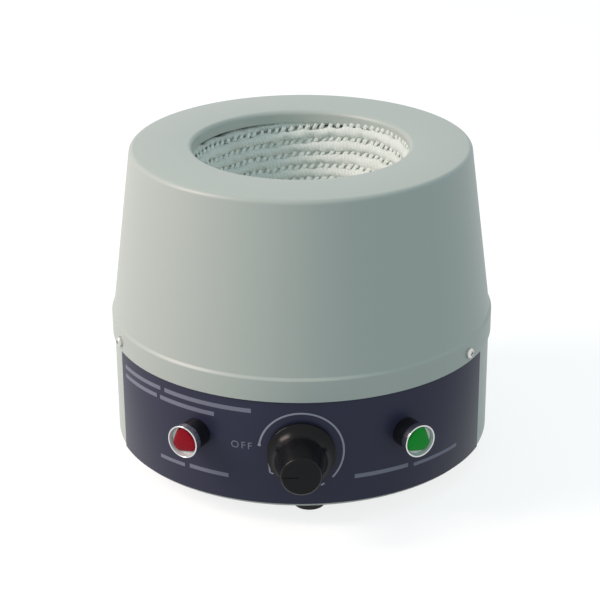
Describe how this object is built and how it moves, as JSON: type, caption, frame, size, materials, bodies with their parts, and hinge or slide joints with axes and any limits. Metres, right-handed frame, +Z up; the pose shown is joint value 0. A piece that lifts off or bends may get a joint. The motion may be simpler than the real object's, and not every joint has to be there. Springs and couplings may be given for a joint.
{
  "type": "heating mantle",
  "caption": "Round laboratory heating mantle: a woven hemispherical heating bowl for a round-bottomed flask in a painted steel shell, with a heat dial, indicator lamps and rubber feet.",
  "frame": {"origin": "on the bench plane, under the heating bowl's axis", "axes": "+Z up along the axis of the bowl and of the flask opening; the dial and lamps face -Y, the cable entry faces +Y"},
  "size_m": [0.2, 0.2494, 0.1676],
  "materials": {
    "cover_paint": "satin",
    "panel_film": "satin",
    "woven_glass": "matte",
    "ceramic_wool": "matte",
    "pan_metal": "satin",
    "zinc_steel": "satin",
    "foot_rubber": "matte",
    "seal_rubber": "matte",
    "knob_black": "gloss",
    "lamp_black": "gloss",
    "gland_black": "satin",
    "bezel_chrome": "polished",
    "red_lens": "gloss",
    "green_lens": "gloss",
    "bulb_glass": "gloss",
    "brass_parts": "satin",
    "board_green": "satin",
    "sink_metal": "satin",
    "triac_black": "matte",
    "choke_copper": "satin",
    "capacitor_yellow": "gloss",
    "fuse_glass": "gloss",
    "terminal_green": "satin",
    "bush_ceramic": "satin",
    "lead_sleeve": "matte",
    "lead_red": "satin",
    "lead_blue": "satin"
  },
  "bodies": {
    "housing": {"cover": "cover_paint", "base_pan": "cover_paint", "control_panel": "panel_film", "heating_bowl": "woven_glass", "insulation": "ceramic_wool", "inner_pan": "pan_metal", "support_leg_1": "zinc_steel", "support_leg_2": "zinc_steel", "support_leg_3": "zinc_steel", "support_leg_4": "zinc_steel", "leg_screws": "zinc_steel", "leg_nuts": "zinc_steel", "foot_1": "foot_rubber", "foot_2": "foot_rubber", "foot_3": "foot_rubber", "foot_screws": "zinc_steel", "foot_nuts": "zinc_steel", "cover_screws": "zinc_steel", "cover_nuts": "zinc_steel", "dial_bush": "brass_parts", "dial_case": "gland_black", "dial_tags": "brass_parts", "dial_washer": "zinc_steel", "dial_nut": "zinc_steel", "red_lamp_body": "lamp_black", "red_lamp_bezel": "bezel_chrome", "red_lamp_lens": "red_lens", "red_lamp_bulb": "bulb_glass", "red_lamp_nut": "lamp_black", "green_lamp_body": "lamp_black", "green_lamp_bezel": "bezel_chrome", "green_lamp_lens": "green_lens", "green_lamp_bulb": "bulb_glass", "green_lamp_nut": "lamp_black", "gland_body": "gland_black", "gland_cap": "gland_black", "gland_seal": "seal_rubber", "gland_nut": "gland_black", "earth_screw": "zinc_steel", "circuit_board": "board_green", "board_posts": "brass_parts", "board_screws": "zinc_steel", "heat_sink": "sink_metal", "triac": "triac_black", "choke": "choke_copper", "capacitor": "capacitor_yellow", "fuse": "fuse_glass", "fuse_clips": "brass_parts", "terminal_block": "terminal_green", "lead_bushes": "bush_ceramic", "element_leads": "lead_sleeve", "lamp_leads": "lead_red", "dial_leads": "lead_blue"},
    "dial": {"knob": "knob_black", "knob_screw": "zinc_steel", "dial_shaft": "zinc_steel"}
  },
  "joints": [
    {"name": "dial_turn", "type": "hinge", "parent": "housing", "child": "dial", "pos_m": [0, -0.09945, 0.0417], "axis": [0, 1, 0], "range_deg": [0, 300]}
  ]
}
